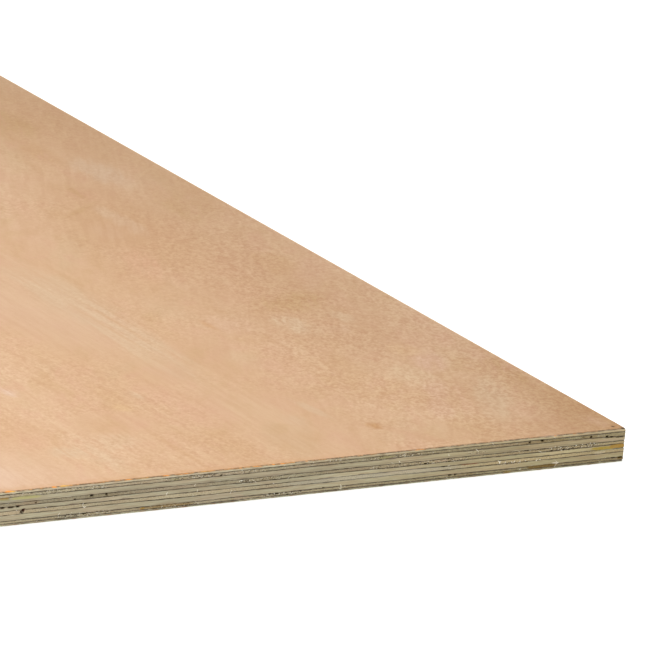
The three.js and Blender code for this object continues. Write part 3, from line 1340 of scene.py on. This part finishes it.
for number, (name, (tone, darker_right)) in enumerate(tones.items()):
    across = name.startswith("crossband")
    smooth_and_rough = crossband_tones if across else long_core_tones
    smooth, rough = (tuple(channel * tone for channel in colour) for colour in smooth_and_rough)
    grain = "X" if across else "Y"
    finish = core_wood(name + "_wood", grain, smooth, rough, darker_right, number * log_step)
    for veneer in veneers:
        if veneer.node.startswith(name):
            pieces[veneer.node].data.materials.append(finish)
print("core finishes:", len(tones))

# %% [markdown]
# ### Face veneer
# The face is a pinkish tan hardwood, peeled in one wide sheet and lightly sanded. No two places on it are
# alike, so soft ovals of other tints are placed on it near the corner: so far to the left, so far in,
# half so wide and half so long. Then come the tint and how strongly it covers, or how plain the figure of
# the wood is there. A last number, where there is one, turns the oval by so many degrees.

# %% List the marks on the face
face_tan = (0.662, 0.415, 0.242)
face_pale = (0.705, 0.465, 0.290)
face_pink = (0.68, 0.405, 0.262)
face_green = (0.63, 0.425, 0.250)
face_olive = (0.60, 0.375, 0.195)
face_deep = (0.585, 0.335, 0.175)

arris_dark = (0.19, 0.13, 0.075)
arris_warm = (0.66, 0.37, 0.18)
arris_fresh = (0.90, 0.42, 0.12)
arris_painted_highlight = (0.84, 0.68, 0.50)
sawn_face = (0.66, 0.56, 0.395)
sawn_back = (0.61, 0.62, 0.45)

ash = (0.677, 0.475, 0.305)
sage = (0.69, 0.465, 0.285)
rose = (0.70, 0.445, 0.30)
mauve = (0.655, 0.415, 0.262)
mist = (0.675, 0.47, 0.32)
hazel = (0.675, 0.40, 0.245)
toffee = (0.62, 0.375, 0.205)
moss = (0.56, 0.34, 0.165)
straw = (0.70, 0.455, 0.25)
russet = (0.63, 0.37, 0.22)
cream = (0.77, 0.56, 0.43)
walnut = (0.12, 0.07, 0.04)

face_patches = [
    (0, 20, 30, 59, (0.555, 0.325, 0.16), 0.85),
    (0, 90, 12, 61, (0.6, 0.36, 0.19), 0.5),
    (80, 12, 30, 25, (0.6, 0.36, 0.19), 0.45),
    (42, 9, 24, 22, (0.57, 0.33, 0.175), 0.45),
    (54, 72, 22, 24, (0.59, 0.35, 0.19), 0.5),
    (19, 96, 12, 34, (0.59, 0.35, 0.18), 0.45),
    (84, 76, 12, 14, toffee, 0.35),
    (114, 194, 10, 15, toffee, 0.4),
    (113, 250, 10, 24, toffee, 0.3),
    (72, 318, 41, 153, (0.6, 0.36, 0.205), 0.6),
    (62, 191, 35, 63, (0.6, 0.365, 0.21), 0.35, -15),
    (90, 385, 37, 67, toffee, 0.5),
    (14, 580, 43, 83, toffee, 0.6),
    (360, 19, 41, 51, (0.73, 0.51, 0.385), 0.3),
    (202, 271, 34, 77, (0.7, 0.475, 0.32), 0.45),
    (42, 64, 9, 34, ash, 0.5, -26),
    (98, 28, 5.9, 16, sage, 0.35, -24),
    (79, 57, 6, 16, rose, 0.5, -24),
    (63, 87, 6, 16, rose, 0.6, -24),
    (9.7, 16.4, 5, 10, rose, 0.4),
    (7.9, 104, 5.1, 20, moss, 0.35, -10),
    (63, 111, 11, 15, sage, 0.9, -10),
    (41, 130, 8, 17, rose, 0.8, -26),
    (43, 150, 8, 10, straw, 0.4),
    (96, 95, 18, 22, toffee, 0.4, -10),
    (102, 131, 14, 21, toffee, 0.35, -20),
    (80, 204, 10, 15, ash, 0.7),
    (47, 210, 6, 9, ash, 0.4),
    (60, 193, 9, 8, mauve, 0.5),
    (62, 240, 17, 13, moss, 0.6, 12),
    (48, 250, 7, 10, moss, 0.25),
    (116, 213, 12, 15, rose, 0.4),
    (126.1, 216.5, 2.4, 9, (0.62, 0.33, 0.14), 0.35),
    (138, 159, 8, 14, sage, 0.5),
    (177, 84, 20, 15, sage, 0.25),
    (146.8, 76.5, 3, 16, ash, 0.5, 8),
    (189, 148, 10, 12, mauve, 0.5),
    (165, 61, 5.9, 9, ash, 0.4),
    (171, 35, 9, 7, toffee, 0.3),
    (177, 245, 13, 86, ash, 0.55, -2),
    (167, 224.8, 2.4, 54, ash, 0.35),
    (177.5, 203.9, 2.4, 47, ash, 0.4),
    (186.7, 271.2, 4, 66, ash, 0.4),
    (172.4, 235, 1.2, 43, toffee, 0.35),
    (181.7, 224.4, 1.2, 48, toffee, 0.3),
    (165.6, 245.6, 1.2, 32, toffee, 0.3),
    (23, 283, 6, 26, mauve, 0.5, -30),
    (33, 306, 11, 20, toffee, 0.6),
    (80, 285, 10, 16, sage, 0.2),
    (106, 322, 9, 30, hazel, 0.7, -20),
    (128, 304, 14, 46, toffee, 0.45),
    (76, 396, 6, 27, mist, 0.35),
    (91, 382, 10, 16, mauve, 0.4, -20),
    (26, 414, 12, 25, moss, 0.4, -10),
    (41, 487, 13, 21, mist, 0.45),
    (40, 472, 10, 20, mist, 0.25),
    (27, 438, 7, 20, toffee, 0.3, -10),
    (84, 506, 8, 16, sage, 0.3),
    (47, 592, 14, 30, moss, 0.55),
    (7, 445, 13, 52, toffee, 0.5),
    (72, 448, 8, 11, russet, 0.8, -20),
    (97.1, 437.5, 3.6, 11, sage, 0.4, -30),
    (74.4, 452, 2.2, 12, moss, 0.5, -5),
    (85.8, 423.8, 2.2, 17, moss, 0.4, -55),
    (57, 531, 8, 26, toffee, 0.8),
    (307, 47, 9, 8, ash, 0.8, -20),
    (293, 40, 8, 26, ash, 0.5),
    (275, 56, 14, 11, ash, 0.4),
    (364, 25, 13, 17, cream, 0.3),
    (225, 15, 13, 13, toffee, 0.35),
    (223, 39, 12, 19, toffee, 0.5),
    (248.9, 32.9, 1.9, 32, toffee, 0.5),
    (277, 15, 14, 9, toffee, 0.4),
    (243.2, 104, 4.8, 5.2, straw, 0.7),
    (239.1, 120.9, 4.9, 27, toffee, 0.35),
    (270, 82, 11, 11, toffee, 0.28),
    (226.3, 120.1, 3.9, 7, ash, 0.6),
    (318, 81, 17, 25, russet, 0.18, -15),
    (288, 144, 3.9, 7, cream, 0.7),
    (129.1, 41.3, 3.6, 4.6, (0.5, 0.24, 0.08), 0.6),
    (115.8, 21.9, 4.9, 18, russet, 0.5, 28),
    (5.1, 4.9, 1.8, 2.2, (0.55, 0.31, 0.15), 0.7),
    (5.1, 4.9, 0.9, 1, walnut, 1),
]

plain_patches = [
    (170, 59, 31, 61, 0.8),
    (153, 164, 22, 31, 0.7),
    (100, 22, 20, 14, 0.6),
    (193, 153, 16, 19, 0.8),
    (211, 250, 24, 65, 0.8),
    (115, 263, 24, 32, 0.5),
    (91, 384, 17, 27, 0.7),
    (342, 29, 38, 41, 0.6),
    (261, 82, 25, 16, 0.7),
    (158, 347, 30, 67, 0.6),
    (45, 530, 60, 130, 0.5),
]
print("face patches:", len(face_patches), "plain patches:", len(plain_patches))

# %% [markdown]
# ### The recipe for the face
# The colour drifts in broad soft bands along the sheet, and in small clouds of pink, grey green and
# olive. The ovals go over these, and mid-sized ones get ragged edges. Short fine pores and a slanting,
# wavy figure lie on top. Painted shade and light follow the fall-off of the studio light: the face is
# palest about half a metre left of the right edge, and darker toward that edge and toward the back.
# Along the arris a ragged fringe is darker and the torn wood is orange, and a thin pale line along the
# right-hand arris is a painted highlight.

# %% Write the recipe for the face
oval_size = 1.6
ragged_from, ragged_to = 2, 30
face_bump = 0.02 * mm


def spot_on(wood, left, inward, half_wide, half_long, lean=0):
    """A soft oval on the face: 1 in its middle, 0 outside it."""
    place = (right_edge - left * mm, near_end + inward * mm, face_top)
    size = (half_wide * oval_size, half_long * oval_size, 1000)
    laid_out = wood.ruled(size, place, (0, 0, math.radians(lean)))
    return wood.add("TexGradient", {"Vector": laid_out}, gradient_type="SPHERICAL")["Fac"]


def hardwood_face(name, tone, sawn, torn_arris, seed):
    """Sanded pinkish hardwood with its grain along Y and a figure that slants to the right."""
    wood = Recipe(name, face_tan, 0.75, 0.12)
    slanting = (0, 0, math.radians(-25))
    bands = wood.cloud((80, 700, 40), seed, 2)
    drift = wood.cloud((34, 75, 40), seed + 3, 3, slanting, 0.5)
    clouds = wood.cloud((15, 30, 40), seed + 5, 3, slanting, 0.6)
    plain = wood.cloud((30, 45, 40), seed + 8, 2)
    straight = wood.leftwards(120, 190)
    brushed = wood.cloud((3.6, 26, 40), seed + 11, 2, slanting, 0.6)
    combed = wood.cloud((3.2, 34, 40), seed + 12, 2)
    brushed = wood.fade(straight, brushed, combed)
    figure = wood.cloud((2.6, 3.2, 40), seed + 13, 2, (0, 0, math.radians(-20)), 0.4)
    waves = wood.cloud((2.4, 3.8, 40), seed + 15, 2, (0, 0, 0), 0.4)
    figure = wood.fade(straight, figure, waves)
    grain = wood.cloud((1.4, 1.4, 40), seed + 17, 1, (0, 0, math.radians(-6)))
    pores = wood.cloud((0.5, 2.6, 40), seed + 19, 1)
    wood.lay(face_pale, wood.between(bands, 0.3, 0.7))
    wood.lay(face_pink, wood.between(drift, 0.5, 0.72, 0.0, 0.45))
    wood.lay(face_green, wood.between(drift, 0.48, 0.3, 0.0, 0.45))
    wood.lay(face_olive, wood.between(clouds, 0.5, 0.7, 0.0, 0.35))
    wood.lay(face_pink, wood.between(clouds, 0.48, 0.3, 0.0, 0.4))
    ragged = wood.between(brushed, 0.3, 0.7, -0.4, 0.4)
    ragged = wood.plus(ragged, wood.between(clouds, 0.3, 0.7, 0.6, 1.4))
    for left, inward, half_wide, half_long, tint, strength, *lean in face_patches:
        spot = spot_on(wood, left, inward, half_wide, half_long, *lean)
        if ragged_from < half_wide < ragged_to:
            spot = wood.times(spot, ragged)
        wood.lay(tint, wood.between(spot, 0.0, 0.8, 0.0, strength))
    wood.mottle(brushed, 0.045, 0.3, 0.7)
    wood.dim(wood.leftwards(90, 0, 1.0, 0.93))
    # Painted shade and light: the face is palest about half a metre left of the right edge, and darker
    # toward that edge and toward the back, as the studio light falls off. Further left it keeps its tone.
    wood.dim(wood.leftwards(560, -160, 1.143, 0.853))
    wood.dim(wood.leftwards(1000, 600, 0.88, 1.0))
    wood.dim(wood.inwards(250, 800, 1.0, 0.92))
    strength = wood.between(plain, 0.35, 0.6, 0.5, 1.0)
    for *oval, plainness in plain_patches:
        spot = spot_on(wood, *oval)
        strength = wood.times(strength, wood.between(spot, 0.0, 0.6, 1.0, 1 - plainness))
    rougher_near = wood.times(wood.leftwards(200, 30, 0.7, 1.5), wood.inwards(40, 420, 1.2, 0.7))
    strength = wood.times(strength, rougher_near)
    rough = wood.plus(wood.minus(figure, 0.5), wood.minus(grain, 0.5))
    wood.mottle(wood.times(rough, strength), 0.17, -0.4, 0.4)
    wood.lay(face_deep, wood.between(pores, 0.38, 0.28, 0.0, 0.25))
    wood.colour = wood.tinted(wood.colour, (tone, tone, tone))
    more_to_left = wood.leftwards(120, 230, 0.2, 1)
    warm_rim = wood.inwards(9, 1, 0.0, 0.35 * torn_arris)
    wood.lay(arris_warm, wood.times(warm_rim, more_to_left))
    torn = wood.cloud((1.7, 1.7, 3), seed + 23, 2)
    fresh = wood.cloud((3.6, 3.6, 7), seed + 29, 2)
    fringe = wood.inwards(2.1, 0.6, 0.0, torn_arris)
    wood.lay(arris_dark, wood.times(fringe, wood.between(torn, 0.38, 0.54, 0.5, 1.0)))
    fresh_share = wood.times(more_to_left, wood.between(fresh, 0.48, 0.62, 0.0, 0.6))
    wood.lay(arris_fresh, wood.times(fringe, fresh_share))
    # Painted highlight: a thin pale line along the right-hand arris, from 50 mm in from the near end, where
    # the arris catches the light.
    wood.lay(arris_painted_highlight, wood.times(wood.leftwards(1.1, 0.5, 0.0, 0.5), wood.inwards(50, 110)))
    upright = wood.minus(1.0, wood.facing("Z", 0.78, 0.92))
    # Painted shade: on the face veneer the sawn wall darkens toward the right corner, as the studio light
    # falls off there.
    darker_end = 1 - 0.4 * torn_arris
    sawn = wood.tinted(sawn, wood.grey(wood.leftwards(330, 40, 1.0, darker_end)))
    wood.lay(sawn, upright)
    height = wood.plus(grain, wood.times(figure, 0.6))
    wood.stains_and_painted_light()
    return wood.finish(height, face_bump)


face_wood = hardwood_face("face_wood", tone=1.0, sawn=sawn_face, torn_arris=1.0, seed=2.0)
back_wood = hardwood_face("back_wood", tone=0.78, sawn=sawn_back, torn_arris=0.0, seed=41.0)
face.data.materials.append(face_wood)
pieces["back_veneer"].data.materials.append(back_wood)
print("face and back dressed")

# %% [markdown]
# ### Torn fibres
# Torn wood is paler and duller than any cut face, and a fibre is too thin to show more than one tone.

# %% Dress the torn fibres
fibre_dull = (0.66, 0.60, 0.46)
fibre_pale = (0.92, 0.88, 0.76)
fibre_bump = 0.02 * mm
straw_wood = Recipe("fibre_wood", fibre_dull, 0.8)
straw_wood.lay(fibre_pale, straw_wood.between(straw_wood.cloud((3, 3, 3), 5.0, 1), 0.3, 0.7))
torn_fibres.data.materials.append(straw_wood.finish(straw_wood.cloud((0.2, 0.2, 0.2)), fibre_bump))
print("fibres dressed")

# %% [markdown]
# ## Attach the pieces
# Every piece is shaded smooth, rides on the sheet's one body, and stands for its imported node, which is
# hidden. The fibres are no veneer's own, so they hide no node.

# %% Ride on the body, and hide the imported nodes
smooth_up_to = math.radians(50)
for veneer in veneers:
    piece = pieces[veneer.node]
    pick_up(piece)
    bpy.ops.object.shade_smooth_by_angle(angle=smooth_up_to)
    slot = veneer.node if "veneer" in veneer.node else "crossband" if veneer.across else "long_core"
    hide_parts(veneer.node)
    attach(piece, "root")
pick_up(torn_fibres)
bpy.ops.object.shade_smooth_by_angle(angle=smooth_up_to)
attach(torn_fibres, "root")
print("triangles in all:", sum(triangles_in(piece) for piece in [*pieces.values(), torn_fibres]))
